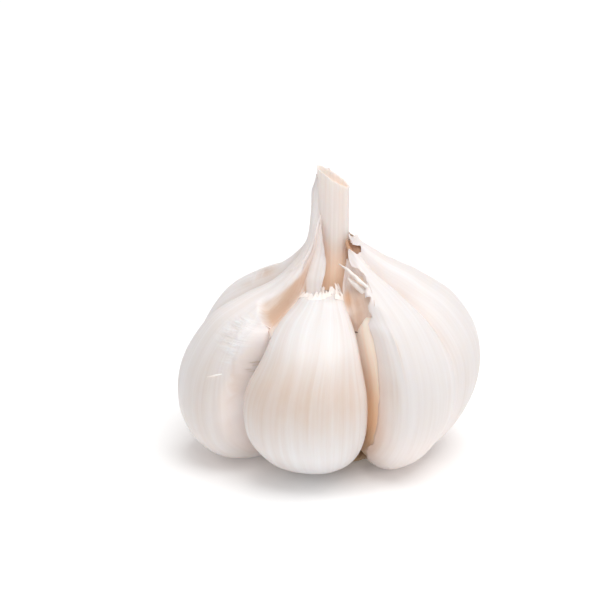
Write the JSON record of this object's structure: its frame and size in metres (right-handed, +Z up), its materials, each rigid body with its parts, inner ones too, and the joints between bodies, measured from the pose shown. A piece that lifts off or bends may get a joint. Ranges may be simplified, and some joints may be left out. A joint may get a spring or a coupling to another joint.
{
  "type": "garlic bulb",
  "caption": "Garlic bulb with plump cloves standing on a round root plate about a cut stem, one front clove bared by its torn papery skin.",
  "frame": {"origin": "centre of the flat underside of the root plate, on the surface that the bulb rests on", "axes": "+Z up along the stem, -Y towards the bared front clove, +X to the right as seen from the front"},
  "size_m": [0.0601, 0.0598, 0.058],
  "materials": {
    "root": "dry fibrous",
    "stem": "dry layered skin",
    "clove": "glossy dry clove skin",
    "skin": "satin papery skin"
  },
  "bodies": {
    "root": {"root_plate": "root", "stem": "stem", "clove_front": "clove", "clove_right": "clove", "clove_right_side": "clove", "clove_back_right": "clove", "clove_back": "clove", "clove_back_left": "clove", "clove_left": "clove", "outer_skin": "skin"}
  },
  "joints": []
}
